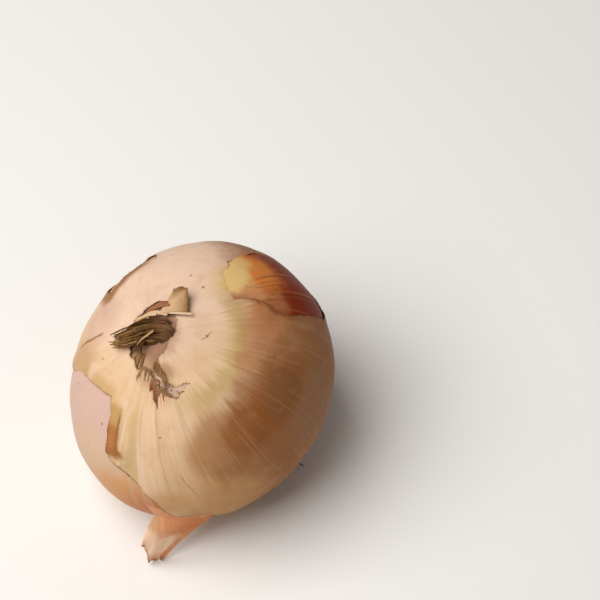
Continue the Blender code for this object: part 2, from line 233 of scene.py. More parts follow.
def bulb_point(lon, polar):
    """A point of the bulb's surface in the onion's own frame; polar counts from the neck."""
    across = math.sin(polar)
    along = math.cos(polar)
    lobe = LOBE_HEIGHT * math.cos(LOBES * lon + LOBE_TURN) + RIB_HEIGHT * math.cos(RIBS * lon)
    turned = lon - OVAL_TURN
    oval_x = (LONG_RADIUS + lobe) * math.cos(turned) * across
    oval_y = (SHORT_RADIUS + lobe) * math.sin(turned) * across
    x = oval_x * math.cos(OVAL_TURN) - oval_y * math.sin(OVAL_TURN)
    y = oval_x * math.sin(OVAL_TURN) + oval_y * math.cos(OVAL_TURN)
    out = math.hypot(x, y)
    if along > 0:
        z = TOP_HEIGHT * along + NECK_RISE * math.exp(-((out / NECK_SPREAD) ** 2))
    else:
        z = ROOT_DEPTH * along + ROOT_DIP * math.exp(-((out / ROOT_DIP_SPREAD) ** 2))
    return Vector((x, y, z))


def bulb_normal(lon, polar):
    """The outward direction of the surface there, in the onion's own frame."""
    step = 0.01
    polar = min(max(polar, 2 * step), math.pi - 2 * step)
    down = bulb_point(lon, polar + step) - bulb_point(lon, polar - step)
    round_ = bulb_point(lon + step, polar) - bulb_point(lon - step, polar)
    return down.cross(round_).normalized()


def angles_of(direction):
    """Longitude and polar angle of a unit direction."""
    return math.atan2(direction.y, direction.x), math.acos(max(-1.0, min(1.0, direction.z)))


def direction_of(lon, polar):
    """The unit direction of a place given in degrees."""
    lon, polar = math.radians(lon), math.radians(polar)
    return np.array((math.cos(lon) * math.sin(polar), math.sin(lon) * math.sin(polar), math.cos(polar)))


def vein_relief(direction):
    """Low ribs that run from neck to root, a little wavy, between -1 and 1."""
    lon, polar = angles_of(direction)
    waver = VEIN_WAVER * noise.noise(direction * 3.0)
    ring = Vector((math.cos(lon + waver), math.sin(lon + waver), 0)) * VEIN_COUNT
    return noise.noise(ring + Vector((0, 0, polar * VEIN_RUN)))


def end_finish(shader, color, roughness, shine, relief, strength, depth):
    """Give the shader its colour, roughness and shine, and its fine relief as a bump."""
    bump = relief.node("ShaderNodeBump", {}, {"Strength": strength, "Distance": depth, "Height": relief})
    for wire, socket in ((color, "Base Color"), (bump, "Normal")):
        wire.tree.links.new(wire.socket, shader.inputs[socket])
    shader.inputs["Roughness"].default_value = roughness
    shader.inputs["Specular IOR Level"].default_value = shine


def piece_from(name, bm, finish):
    """A finished piece that rides on the onion: faces turned outwards, shaded smooth, material given."""
    bmesh.ops.recalc_face_normals(bm, faces=bm.faces)
    mesh = bpy.data.meshes.new(name)
    bm.to_mesh(mesh)
    bm.free()
    mesh.shade_smooth()
    mesh.materials.append(finish)
    piece = put_in_scene(name, mesh)
    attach(piece, "root")
    return piece


def onion_place(place):
    """Object coordinates turned into the onion's own frame, in millimetres."""
    turn = onion_inverse.to_3x3().to_euler()
    shift = onion_inverse.translation / MM
    return place.node("ShaderNodeMapping", {"vector_type": "POINT"}, {
        "Vector": place, "Location": shift, "Rotation": turn, "Scale": (1 / MM,) * 3,
    })


class Skin:
    """What every skin's finish reads: its direction, that on a ring round the neck, and its angle."""

    def __init__(self, place):
        scale = (1 / MEAN_RADIUS, 1 / MEAN_RADIUS, MM / TOP_HEIGHT)
        self.way = onion_place(place).vector("MULTIPLY", scale).vector("NORMALIZE")
        self.ring = self.way.vector("MULTIPLY", (1, 1, 0)).vector("NORMALIZE")
        self.polar = self.way.part(2).math("ARCCOSINE") * (180 / math.pi)

    def spot(self, lon, polar, inner, outer, ragged=0.0, scale=9.0):
        """A mask that is 1 within the inner angle of a place and 0 beyond the outer one, in degrees."""
        away = self.way.vector("DISTANCE", tuple(direction_of(lon, polar)), output=1) * (180 / math.pi)
        if ragged:
            away = away + (self.way.grain(scale, 4.0, 0.6) - 0.5) * ragged
        return away.rise(outer, inner)

    def crease(self, start, end, width):
        """A ragged line from one place to another, 1 along its middle; its width is in degrees."""
        start, end = (Vector(direction_of(*place)) for place in (start, end))
        middle = tuple((start + end).normalized())
        across = tuple(start.cross(end).normalized())
        off = self.way.vector("DOT_PRODUCT", across, output=1) * (180 / math.pi)
        off = off + (self.way.grain(14.0, 3.0) - 0.5) * 2.2
        away = self.way.vector("DISTANCE", middle, output=1)
        half = start.angle(end) / 2
        return off.math("ABSOLUTE").rise(width, 0.3 * width) * away.rise(half, 0.75 * half)

    def streaks(self, around, along, detail=3.0, waver=0.6):
        """Streaks from neck to root, as noise that is long one way and fine the other."""
        sway = self.way.grain(2.2, output=1).vector("SUBTRACT", (0.5, 0.5, 0.5)).scaled(waver / around)
        drawn = self.ring.vector("ADD", sway).scaled(around)
        fall = self.way.node("ShaderNodeCombineXYZ", {}, {2: self.polar * (along / 90)})
        return drawn.vector("ADD", fall).grain(1.0, detail, 0.55)

    def patches(self, color, places):
        """The colour with patches over it: their place, inner and outer reach, raggedness, share and tint."""
        for lon, polar, inner, outer, ragged, share, tint in places:
            color = (self.spot(lon, polar, inner, outer, ragged) * share).mix(color, tint)
        return color

    def cracks(self, color, lines):
        """The colour with fine ragged lines over it: their ends, width, share and tint."""
        for start, end, width, share, tint in lines:
            color = (self.crease(start, end, width) * share).mix(color, tint)
        return color

    def specks(self, color, places, reach):
        """The colour with small dark specks over it."""
        for lon, polar in places:
            color = (self.spot(lon, polar, 0.3, reach, 1.2, 30.0) * 0.7).mix(color, SPECK)
        return color


bm = bmesh.new()
bmesh.ops.create_uvsphere(bm, u_segments=BULB_ROUND, v_segments=BULB_POLES, radius=1.0)
for vert in bm.verts:
    direction = vert.co.copy()
    lon, polar = angles_of(direction)
    dent = DENT_DEPTH * max(0.0, noise.noise(direction * DENT_SCALE))
    relief = VEIN_HEIGHT * vein_relief(direction) - dent
    vert.co = onion_matrix @ (bulb_point(lon, polar) + bulb_normal(lon, polar) * relief)
geometry = bm.verts[:] + bm.edges[:] + bm.faces[:]
made = bmesh.ops.bisect_plane(bm, geom=geometry, plane_co=(0, 0, 0), plane_no=(0, 0, 1), clear_inner=True)
rim = [item for item in made["geom_cut"] if isinstance(item, bmesh.types.BMEdge)]
bmesh.ops.edgeloop_fill(bm, edges=rim)

PALE_PINK = (0.63, 0.43, 0.36, 1)
PEACH = (0.66, 0.44, 0.31, 1)
CREAM = (0.75, 0.52, 0.33, 1)
CREAM_TAN = (0.64, 0.45, 0.31, 1)
ORANGE_TAN = (0.64, 0.33, 0.15, 1)
ORANGE = (0.55, 0.21, 0.09, 1)
RED_ORANGE = (0.70, 0.23, 0.05, 1)
DEEP_RED = (0.25, 0.030, 0.004, 1)
YELLOW = (0.74, 0.52, 0.21, 1)
PURPLE_BROWN = (0.30, 0.15, 0.10, 1)
NECK_TAN = (0.46, 0.27, 0.15, 1)
TEAR_TAN = (0.33, 0.17, 0.075, 1)
LILAC = (0.60, 0.42, 0.33, 1)
BROWN = (0.24, 0.11, 0.04, 1)
SPECK = (0.22, 0.11, 0.06, 1)
SKIN_SHINE = 0.035
SKIN_RELIEF = 0.4 * MM

finish, shader, place = start_finish("inner_skin")
skin = Skin(place)
color = skin.way.grain(1.7, 2.0).rise(0.35, 0.65).mix(PEACH, CREAM)
# Pinkish white at the left and low orange, then the window at the upper right from deep red to yellow
# The deep red low in the window is partly the skin's own red and partly painted shade
color = skin.patches(color, (
    (208, 42, 16, 40, 8, 1, PALE_PINK), (224, 66, 8, 20, 8, 1, CREAM_TAN),
    (243, 86, 15, 30, 8, 1, ORANGE_TAN), (254, 92, 10, 26, 8, 1, ORANGE),
    (30, 66, 24, 40, 8, 1, DEEP_RED), (43, 53, 7, 18, 8, 1, RED_ORANGE),
    (46, 41, 6, 12, 6, 1, YELLOW), (53, 50, 3, 10, 6, 0.8, YELLOW),
))
color = skin.cracks(color, (((36, 43), (31, 50), 0.6, 0.8, BROWN),))
color = skin.patches(color, ((27, 45, 3, 10, 6, 0.65, ORANGE_TAN), (21, 55, 2, 9, 6, 0.4, ORANGE_TAN)))
# Deep red streaks low in the window, partly painted shade like the deep red patch
color = (skin.streaks(26, 1.0).rise(0.5, 0.62) * skin.spot(26, 68, 14, 26) * 0.5).mix(color, DEEP_RED)
color = skin.patches(color, ((282, 22, 4, 10, 4, 0.8, LILAC),))
left = skin.spot(215, 55, 40, 60)
color = (left * skin.streaks(16, 0.8).rise(0.52, 0.66) * 0.25).mix(color, CREAM_TAN)
color = (left * skin.streaks(44, 1.6).rise(0.55, 0.72) * 0.25).mix(color, PALE_PINK)
color = (skin.streaks(30, 1.2).rise(0.5, 0.7) * 0.3).mix(color, ORANGE_TAN)
color = skin.specks(color, ((189.3, 49.4), (222.5, 45.0)), 1.0)
# Darker towards the neck: a tan ring, and within it purple-brown, partly dirt and partly painted shade under
# the dried neck
near_neck = skin.polar + (skin.way.grain(14.0, 3.0) - 0.5) * 6
color = (near_neck.rise(17, 12) * 0.7).mix(color, NECK_TAN)
color = (near_neck.rise(12.5, 8) * 0.75).mix(color, PURPLE_BROWN)
color = (skin.spot(273, 12, 1.5, 6, 3, 20.0) * 0.7).mix(color, TEAR_TAN)
relief = skin.streaks(60, 2.0) * 0.6 + skin.way.grain(60.0, 3.0) * 0.15
end_finish(shader, color, 0.42, SKIN_SHINE, relief, 0.25, SKIN_RELIEF)
bulb = piece_from("bulb_flesh", bm, finish)
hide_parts("bulb")

# The outer skin: one dry layer of papery skin, a tenth of a millimetre of dead leaf that still lies on the
# bulb. It has split round the neck, down the left, at the upper right, at the back and round the roots. Its
# torn edges have dried brown in places and stand off the bulb.
SKIN_GAP = 0.30 * MM
SKIN_THICKNESS = 0.16 * MM
SKIN_ROUND = 232
SKIN_POLES = 124
# In degrees from a torn edge: where the mesh is finer, is pulled onto the edge and is cut away, what counts
# as far off, and how far past its outline a tear is felt
FINE_BAND = 2.4
SNAP = 0.34
INSIDE = -0.02
FAR = 90.0
TEAR_REACH = 6
# How deep the long and the small teeth are, as shares of a tear's own depth
LONG_TEETH = 1.4
SMALL_TEETH = 0.3
EDGE_RISE = 0.35 * MM
EDGE_SPREAD = 1.6
EDGE_FLUTTER = 0.65
TORN_FAR = 12.0
CRUMPLE = 0.09 * MM
DEGREE = MEAN_RADIUS * math.pi / 180
NECK_OPENING = [
    (0, 8.5), (30, 9.5), (66, 15.5), (95, 15.5), (125, 13.5), (170, 13.5), (207, 13.2), (226, 14),
    (244, 12.6), (257, 14.6), (265, 17.4), (268, 19.2), (272.5, 22.3), (277, 23.8), (283.5, 26.2),
    (289, 25.5), (295, 24.9), (302, 24.5), (300, 23.0), (293, 22.9), (284, 22.4), (277, 20), (270, 16.5),
    (264, 13), (270, 9.5), (300, 8),
]
LEFT_TEAR = [
    (197.2, 35.4), (203.6, 33.3), (218.5, 30.5), (226.2, 35.5), (229, 43.6), (230.2, 48.5), (231.1, 51.7),
    (234.7, 54.1), (249.3, 64.2), (256, 75.3), (260.3, 89.8), (265, 91.5), (275, 96), (281, 112), (284, 135),
    (286, 166), (150, 166), (150, 135), (158, 110), (150, 90), (163, 70), (177, 54), (188, 40),
]
RIGHT_WINDOW = [
    (26, 34.3), (38, 36), (50, 41), (56, 46.5), (55, 66.8), (50, 85), (38, 97), (25, 99), (14.9, 87.7),
    (10.3, 59), (13.2, 50.4), (21, 43.5),
]
BACK_PATCH = [
    (103, 48.7), (111, 49.5), (118, 48.6), (126, 46.5), (134, 45.3), (134, 58), (128, 72), (124, 92),
    (116, 78), (111, 66), (104, 58),
]
ROOT_OPENING = [
    (0, 163), (45, 161), (80, 164), (120, 162), (160, 160), (200, 158), (240, 160), (280, 163), (320, 160),
]
# Each tear: its outline, the middle of its flat map, and how long and deep its teeth are, in degrees
TEARS = [
    (NECK_OPENING, (284, 6), 2.0, 0.7),
    (LEFT_TEAR, (215, 95), 3.0, 0.45),
    (RIGHT_WINDOW, (33, 66), 2.2, 0.6),
    (BACK_PATCH, (118, 64), 2.0, 0.6),
    (ROOT_OPENING, (0, 180), 2.5, 0.8),
]
# Places of the skin are longitude, polar angle and reach in degrees. Raised ones come with a height.
LIFTS = [
    (238, 40, 9, 0.7 * MM), (237, 52, 7, 1.0 * MM), (118, 46.5, 11, 0.55 * MM), (196, 38, 6, 0.5 * MM),
    (15, 44, 6, 0.4 * MM),
]
# Where the torn edge lies flush on the bulb
FLUSH = [
    (292, 15, 9), (300, 9, 8), (0, 9, 8), (30, 10, 6), (43, 38, 11), (55, 55, 8), (183, 48, 8), (45, 80, 20),
    (31, 36, 8), (287, 20.5, 4.5),
]
FLUSH_SHARE = 0.9
FLUSH_SINK = 0.32 * MM
FLUSH_SPREAD = 2.2
# Edges that have dried brown, with how strongly
BROWN_EDGES = [
    (119, 47, 18, 1.0), (231, 48, 8, 1.0), (19, 44, 7, 1.0), (11, 56, 8, 0.9), (9, 70, 10, 0.4),
    (262, 17, 12, 0.8), (275, 24.5, 5, 1.0), (243, 60, 9, 1.0), (257, 80, 16, 0.7), (213, 31, 7, 0.35),
    (180, 14, 20, 0.5),
]
# The rolled lip along the left tear: its place, and how far from the edge and how high its crest is
LIP = (227, 43, 14)
LIP_WIDTH = 3.6
LIP_CREST = 0.8 * MM
LIP_SPREAD = 1.3
NECK_FOLD = 0.30 * MM
NECK_FOLDS = 3.2
NECK_FOLDS_FROM = math.radians(11)
NECK_FOLDS_SPREAD = math.radians(13)


def map_axes(centre):
    """Three axes for a flat map drawn round a place: its middle and two directions across it."""
    middle = direction_of(*centre)
    side = np.cross(middle, (0.0, 0.0, 1.0) if abs(middle[2]) < 0.9 else (0.0, 1.0, 0.0))
    side /= np.linalg.norm(side)
    return middle, side, np.cross(middle, side)


def to_map(directions, axes):
    """Directions drawn on the flat map, in degrees from its middle."""
    middle, side, over = axes
    away = np.degrees(np.arccos(np.clip(directions @ middle, -1, 1)))
    x, y = directions @ side, directions @ over
    length = np.maximum(np.hypot(x, y), 1e-9)
    return np.stack((away * x / length, away * y / length), axis=1)


def from_map(points, axes):
    """Directions of points on the flat map."""
    middle, side, over = axes
    away = np.radians(np.hypot(points[:, 0], points[:, 1]))[:, None]
    ways = points / np.maximum(np.hypot(points[:, 0], points[:, 1]), 1e-9)[:, None]
    return np.cos(away) * middle + np.sin(away) * (ways[:, :1] * side + ways[:, 1:] * over)


def torn_outline(outline, axes, tooth_length, tooth_depth, draw):
    """The tear's outline on its flat map, broken into long soft and short sharp teeth."""
    corners = to_map(np.array([direction_of(lon, polar) for lon, polar in outline]), axes)
    points = []
    for here, there in zip(corners, np.roll(corners, -1, axis=0)):
        steps = max(2, int(np.linalg.norm(there - here) / (tooth_length / 4)))
        across = np.array((here[1] - there[1], there[0] - here[0]))
        across /= np.linalg.norm(across)
        long_tooth = draw.uniform(-1, 1)
        for step in range(steps):
            share = step / steps
            bow = long_tooth * math.sin(math.pi * share) * tooth_depth * LONG_TEETH
            tooth = draw.uniform(-1, 1) * tooth_depth * (1 if step % 4 == 2 else SMALL_TEETH)
            points.append(here + (there - here) * share + across * (bow + tooth))
    return np.array(points)


def tear_distance(points, outline):
    """How far each map point lies outside the outline, below 0 inside it, and the outline's nearest point."""
    start, end = outline, np.roll(outline, -1, axis=0)
    run = end - start
    best = np.full(len(points), 1e9)
    nearest = np.zeros_like(points)
    inside = np.zeros(len(points), bool)
    for a, b, d in zip(start, end, run):
        share = np.clip(((points - a) @ d) / (d @ d), 0, 1)
        foot = a + share[:, None] * d
        away = np.hypot(*(points - foot).T)
        closer = away < best
        best[closer] = away[closer]
        nearest[closer] = foot[closer]
        crosses = (a[1] > points[:, 1]) != (b[1] > points[:, 1])
        if a[1] != b[1]:
            meet = a[0] + (points[:, 1] - a[1]) / (b[1] - a[1]) * d[0]
            inside ^= crosses & (points[:, 0] < meet)
    return np.where(inside, -best, best), nearest


def nearest_tear(directions, tears):
    """For each direction, the nearest torn edge: its signed distance in degrees and its direction."""
    directions = np.array(directions)
    best = np.full(len(directions), FAR)
    edge = directions.copy()
    for outline, axes in tears:
        points = to_map(directions, axes)
        reach = np.hypot(*outline.T).max() + TEAR_REACH
        near = np.nonzero(np.hypot(*points.T) < reach)[0]
        away, foot = tear_distance(points[near], outline)
        closer = away < best[near]
        best[near[closer]] = away[closer]
        edge[near[closer]] = from_map(foot[closer], axes)
    return best, edge


def nearness(lon, polar, place):
    """1 in the middle of a place of the skin and falling to 0 beyond its reach."""
    turn = (math.degrees(lon) - place[0] + 180) % 360 - 180
    apart = math.hypot(turn * math.sin(polar), math.degrees(polar) - place[1])
    return math.exp(-((apart / place[2]) ** 4))


def neck_fold(lon, polar):
    """How far the skin's folds lift it near the neck."""
    folds = noise.noise(Vector((math.cos(lon) * NECK_FOLDS, math.sin(lon) * NECK_FOLDS, polar * 1.2)))
    near_neck = math.exp(-(((polar - NECK_FOLDS_FROM) / NECK_FOLDS_SPREAD) ** 2))
    return NECK_FOLD * near_neck * (0.5 + abs(folds) * 1.8)


draw = random.Random(5)
tears = []
for outline, centre, tooth_length, tooth_depth in TEARS:
    axes = map_axes(centre)
    tears.append((torn_outline(outline, axes, tooth_length, tooth_depth, draw), axes))

bm = bmesh.new()
bmesh.ops.create_uvsphere(bm, u_segments=SKIN_ROUND, v_segments=SKIN_POLES, radius=1.0)
for band in (FINE_BAND, FINE_BAND / 2):
    away, edge = nearest_tear([vert.co for vert in bm.verts], tears)
    bm.verts.ensure_lookup_table()
    near = set(np.nonzero(np.abs(away) < band)[0].tolist())
    bm.verts.index_update()
    edges = [edge for edge in bm.edges if edge.verts[0].index in near and edge.verts[1].index in near]
    bmesh.ops.subdivide_edges(bm, edges=edges, cuts=1, use_grid_fill=True)
    for vert in bm.verts:
        vert.co.normalize()
away, edge = nearest_tear([vert.co for vert in bm.verts], tears)
lost = []
bm.verts.index_update()
for vert in bm.verts:
    if abs(away[vert.index]) < SNAP:
        vert.co = Vector(edge[vert.index])
    elif away[vert.index] < 0:
        lost.append(vert)
bmesh.ops.delete(bm, geom=lost, context="VERTS")
away, edge = nearest_tear([face.calc_center_median().normalized() for face in bm.faces], tears)
bmesh.ops.delete(bm, geom=[face for face, gone in zip(bm.faces[:], away < INSIDE) if gone], context="FACES")
bmesh.ops.delete(bm, geom=[vert for vert in bm.verts if not vert.link_faces], context="VERTS")

away, edge = nearest_tear([vert.co for vert in bm.verts], tears)
torn_layer = bm.verts.layers.float.new("torn")
dried_layer = bm.verts.layers.float.new("dried")
bm.verts.index_update()
for vert in bm.verts:
    direction = vert.co.copy()
    lon, polar = angles_of(direction)
    torn = max(0.0, away[vert.index]) * DEGREE
    vert[torn_layer] = min(torn, TORN_FAR)
    vert[dried_layer] = max(nearness(lon, polar, place) * place[3] for place in BROWN_EDGES)
    flush = max(nearness(lon, polar, place) for place in FLUSH)
    flutter = 1 - EDGE_FLUTTER + EDGE_FLUTTER * max(0.0, noise.noise(direction * 11.0) + 0.3)
    standing = SKIN_GAP + EDGE_RISE * flutter * math.exp(-torn / EDGE_SPREAD)
    rise = standing * (1 - FLUSH_SHARE * flush) + SKIN_THICKNESS
    rise -= FLUSH_SINK * flush * math.exp(-torn / FLUSH_SPREAD)
    rise += sum(nearness(lon, polar, place) * place[3] for place in LIFTS)
    rise += nearness(lon, polar, LIP) * LIP_CREST * math.exp(-(((torn - LIP_WIDTH) / LIP_SPREAD) ** 2))
    rise += neck_fold(lon, polar)
    rise += VEIN_HEIGHT * vein_relief(direction) + CRUMPLE * noise.noise(direction * 4.0)
    vert.co = onion_matrix @ (bulb_point(lon, polar) + bulb_normal(lon, polar) * rise)

finish, shader, place = start_finish("papery_skin")
skin = Skin(place)
torn, dried = place.attribute("torn"), place.attribute("dried")
PALE = (0.79, 0.57, 0.43, 1)
SAND = (0.72, 0.49, 0.28, 1)
PINK = (0.66, 0.44, 0.34, 1)
TAN = (0.56, 0.34, 0.18, 1)
BROWN_TAN = (0.37, 0.160, 0.063, 1)
LOW_TAN = (0.60, 0.33, 0.14, 1)
PINK_BROWN = (0.50, 0.21, 0.09, 1)
RUST = (0.30, 0.10, 0.028, 1)
GREENISH = (0.50, 0.35, 0.12, 1)
OCHRE = (0.49, 0.29, 0.105, 1)
BURNT = (0.40, 0.145, 0.040, 1)
RIM_BROWN = (0.33, 0.14, 0.045, 1)
OLIVE = (0.37, 0.195, 0.100, 1)
DRY_EDGE = (0.24, 0.11, 0.045, 1)
color = skin.way.grain(1.6, 2.0).rise(0.3, 0.7).mix(CREAM, SAND)
color = skin.patches(color, (
    (95, 26, 20, 46, 10, 1, PALE), (150, 37, 7, 17, 6, 0.8, PINK), (184, 48, 8, 20, 8, 1, TAN),
    (192, 34, 2, 6, 3, 0.7, PALE), (46, 41, 5, 11, 6, 1, YELLOW), (50, 33, 4, 12, 8, 0.2, YELLOW),
))
# Greenish, pale and tan stripes down the front, and a greenish band round the shoulder
striped = skin.spot(266, 50, 16, 38, 10)
color = (skin.streaks(9, 0.5, 2.0).rise(0.46, 0.60) * (striped * 0.45 + 0.05)).mix(color, GREENISH)
color = (skin.streaks(15, 0.7, 2.0).rise(0.50, 0.66) * (striped * 0.6 + 0.04)).mix(color, PALE)
color = (skin.streaks(28, 1.0).rise(0.50, 0.64) * striped * 0.3).mix(color, TAN)
sway = (skin.streaks(14, 0.6, 2.0) - 0.5) * 0.7 + (skin.streaks(36, 1.2) - 0.5) * 0.5
band = (skin.polar + sway * 14 - 33).math("ABSOLUTE").rise(7.5, 0.5) * skin.spot(344, 34, 20, 35, 8)
color = (band * 0.68).mix(color, GREENISH)
color = skin.patches(color, ((285, 66, 8, 27, 6, 0.65, LOW_TAN),))
# The side turned from the light is brown, partly the skin's own brown and partly painted shade, its edge
# drawn out along the streaks
color = (skin.spot(12, 140, 82, 97, 5, 4.0) + sway).rise(0.0, 1.0).mix(color, BROWN_TAN)
color = skin.patches(color, (
    (90, 46, 14, 34, 8, 1, PALE), (282, 88, 8, 28, 8, 0.8, LOW_TAN), (259, 78, 4, 14, 5, 0.8, LOW_TAN),
))
# Where the brown side is redder, darker or greyer, with edges drawn out into streaks
for lon, polar, inner, outer, share, tint in (
    (12, 48, 4, 14, 0.7, PINK_BROWN), (0, 41, 3, 14, 0.5, PINK_BROWN), (297, 56, 9, 25, 0.7, BROWN_TAN),
    (334, 62, 6, 26, 0.7, RUST), (310, 56, 5, 19, 0.85, RUST), (325, 45, 3, 14, 0.65, RUST),
    (342, 38, 2, 9, 0.65, PINK_BROWN), (338, 85, 8, 28, 0.7, OLIVE), (334, 60, 3, 18, 0.7, BROWN),
):
    color = ((skin.spot(lon, polar, inner, outer, 6) + sway * 0.8).rise(0.12, 0.9) * share).mix(color, tint)
color = skin.cracks(color, (
    ((334.7, 31), (334.7, 48.5), 0.4, 0.55, RIM_BROWN), ((348, 17.5), (2, 21.5), 0.5, 0.5, SPECK),
))
mottle = skin.way.grain(9.0, 2.5, 0.55)
color = (mottle.rise(0.48, 0.72) * 0.12).mix(color, RIM_BROWN)
color = (mottle.rise(0.50, 0.30) * 0.06).mix(color, PALE)
rust_streaks = skin.streaks(40, 1.0).rise(0.42, 0.58) * skin.spot(266, 24, 2, 7, 3)
color = (rust_streaks * 0.55).mix(color, PINK_BROWN)
color = (skin.streaks(56, 1.8).rise(0.54, 0.70) * 0.25).mix(color, TAN)
color = skin.cracks(color, (
    ((162, 29), (168, 50), 0.9, 0.75, RUST), ((268.5, 60), (273, 76), 0.35, 0.6, BROWN_TAN),
))
color = skin.patches(color, ((254, 16, 3, 8, 4, 0.6, NECK_TAN),))
color = (skin.spot(278, 15, 1.5, 5.5, 3, 20.0) * 0.6).mix(color, TEAR_TAN)
# The rolled lip and its line of painted shade, then the brown rims that follow the torn edges
rough = skin.way.grain(34.0, 3.0) - 0.5
# The lip's band, ochre to burnt brown with a rust-dark end: partly its dried colour, partly painted shade
# where it turns from the light
lip = (torn + rough).rise(LIP_WIDTH + 1.8, LIP_WIDTH + 0.5) * skin.spot(232.5, 43, 9, 13.5, 3)
lip_color = skin.spot(234, 50, 7, 12, 4).mix(OCHRE, BURNT)
lip_color = (skin.spot(236, 52.5, 1.5, 6, 3) * 0.5).mix(lip_color, RUST)
color = (lip * 0.95).mix(color, lip_color)
# Painted shade along the fold of the lip
lip_fold_shade = (torn + rough * 0.6 - LIP_WIDTH - 0.6).math("ABSOLUTE").rise(0.6, 0.1)
color = (lip_fold_shade * skin.spot(234.5, 44, 7, 11) * 0.75).mix(color, RIM_BROWN)
corner = torn.rise(4.6, 1.5) * skin.spot(208, 33, 5, 12, 8)
color = (corner * 0.6).mix(color, OCHRE)
rim = (torn + rough * 1.5).rise(5.4, 1.6) * skin.spot(124, 46, 11, 19, 8)
color = (rim * 0.95).mix(color, RIM_BROWN)
window_rim = (torn + rough * 1.5).rise(1.9, 0.4) * skin.spot(14, 50, 9, 15, 5)
color = (window_rim * 0.8).mix(color, RUST)
specks = ((186.5, 28.0), (355.5, 19.5), (51.6, 28.1), (68.1, 31.5), (263, 41.4), (350, 50))
color = skin.specks(color, specks, 0.9)
color = ((torn + rough).rise(0.7, 0.05) * dried).mix(color, DRY_EDGE)
# Purple-brown towards the neck, partly dirt and partly painted shade under the dried neck
color = ((skin.polar + rough * 4).rise(11.5, 6) * 0.5).mix(color, PURPLE_BROWN)
relief = skin.streaks(70, 2.4) * 0.7 + skin.way.grain(70.0, 4.0) * 0.2
end_finish(shader, color, 0.45, SKIN_SHINE, relief, 0.3, SKIN_RELIEF)
outer = piece_from("papery_layer", bm, finish)
wall = outer.modifiers.new("thickness", "SOLIDIFY")
wall.thickness = SKIN_THICKNESS
wall.offset = -1.0
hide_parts("outer_skin")

# The loose flap: a tongue of the orange inner skin that has come away low on the front. It still clings to
# the bulb under the outer skin's edge, then leaves it and hangs down to the table with a ragged pale end.
# Where it clings and leaves the bulb, left and right, in degrees, and its tip and bulge in millimetres
FLAP_ROOT_LON = (250, 273)
FLAP_ROOT_POLAR = (80, 92)
FLAP_LEAVE_POLAR = (91, 104)
FLAP_CLING = 0.2
FLAP_TIP_LEFT = Vector((-17.8, -44.2, 0.6))
FLAP_TIP_RIGHT = Vector((-12.2, -43.0, 0.6))
FLAP_BULGE_LEFT = Vector((-1.8, -2.2, 1.5))
FLAP_BULGE_RIGHT = Vector((-0.3, 0.3, 0.4))
FLAP_WAVE = 0.6 * MM
FLAP_STEP = 0.44
FLAP_STEP_SIDES = (0.08, 0.27)
FLAP_NOTCH = 0.05
FLAP_NOTCHES = 2
FLAP_ACROSS = 96
FLAP_DOWN = 120
FLAP_SHEET = 0.14 * MM
FLAP_HEIGHT = 0.05 * MM
FLAP_LIFT = 0.25 * MM
FLAP_LOWEST = 0.4 * MM
FLAP_FOLD = 0.45 * MM
FLAP_FOLDS = 2.6
FLAP_CRINKLE = 0.8
FLAP_WANDER = 0.035
FLAP_TEETH = (0.06, 0.03)


def between(ends, share):
    """The value that lies the share of the way from the first end to the second."""
    return ends[0] + (ends[1] - ends[0]) * share


def flap_point(side, down):
    """A point of the flap in the table's frame: side runs left to right, down from its root to its tip."""
    side = side + FLAP_WANDER * noise.noise(Vector((side * 2, down * 9, 4.1))) * (down > FLAP_CLING)
    lon = math.radians(between(FLAP_ROOT_LON, side))
    cling = min(1.0, down / FLAP_CLING)
    polar = math.radians(between((between(FLAP_ROOT_POLAR, side), between(FLAP_LEAVE_POLAR, side)), cling))
    height = FLAP_HEIGHT + FLAP_LIFT * cling ** 3
    hold = onion_matrix @ (bulb_point(lon, polar) + bulb_normal(lon, polar) * height)
    tip = FLAP_TIP_LEFT.lerp(FLAP_TIP_RIGHT, side) * MM
    step_from, step_to = FLAP_STEP_SIDES
    step = min(1.0, max(0.0, (step_to - side) / (step_to - step_from)))
    notch = 0.5 - 0.5 * math.cos(2 * math.pi * FLAP_NOTCHES * side)
    teeth = FLAP_TEETH[0] * noise.noise(Vector((side * 14, 2.2, 0)))
    teeth += FLAP_TEETH[1] * noise.noise(Vector((side * 45, 5.2, 0)))
    ragged_end = 1 - FLAP_STEP * step - FLAP_NOTCH * notch + teeth
    share = min(1.0, max(0.0, down - FLAP_CLING) / (1 - FLAP_CLING) * ragged_end)
    belly = math.sin(math.pi * share)
    bulge = FLAP_BULGE_LEFT.lerp(FLAP_BULGE_RIGHT, side) * MM
    outward = Vector((hold.x, hold.y, 0)).normalized()
    wave = outward * FLAP_WAVE * math.sin(2 * math.pi * side)
    fold = math.sin(2 * math.pi * (FLAP_FOLDS * side + 0.5 * share)) * share ** 1.5
    crinkle = FLAP_CRINKLE * noise.noise(Vector((side * 7, share * 5, 0.7))) * share
    place = hold.lerp(tip, share) + (bulge + wave) * belly + outward * FLAP_FOLD * (fold + crinkle)
    place.z = max(place.z, FLAP_LOWEST)
    return place


bm = bmesh.new()
bmesh.ops.create_grid(bm, x_segments=FLAP_ACROSS, y_segments=FLAP_DOWN, size=0.5)
down_layer = bm.verts.layers.float.new("down")
side_layer = bm.verts.layers.float.new("side")
for vert in bm.verts:
    side, down = vert.co.x + 0.5, 0.5 - vert.co.y
    vert[down_layer] = down
    vert[side_layer] = side
    vert.co = flap_point(side, down)

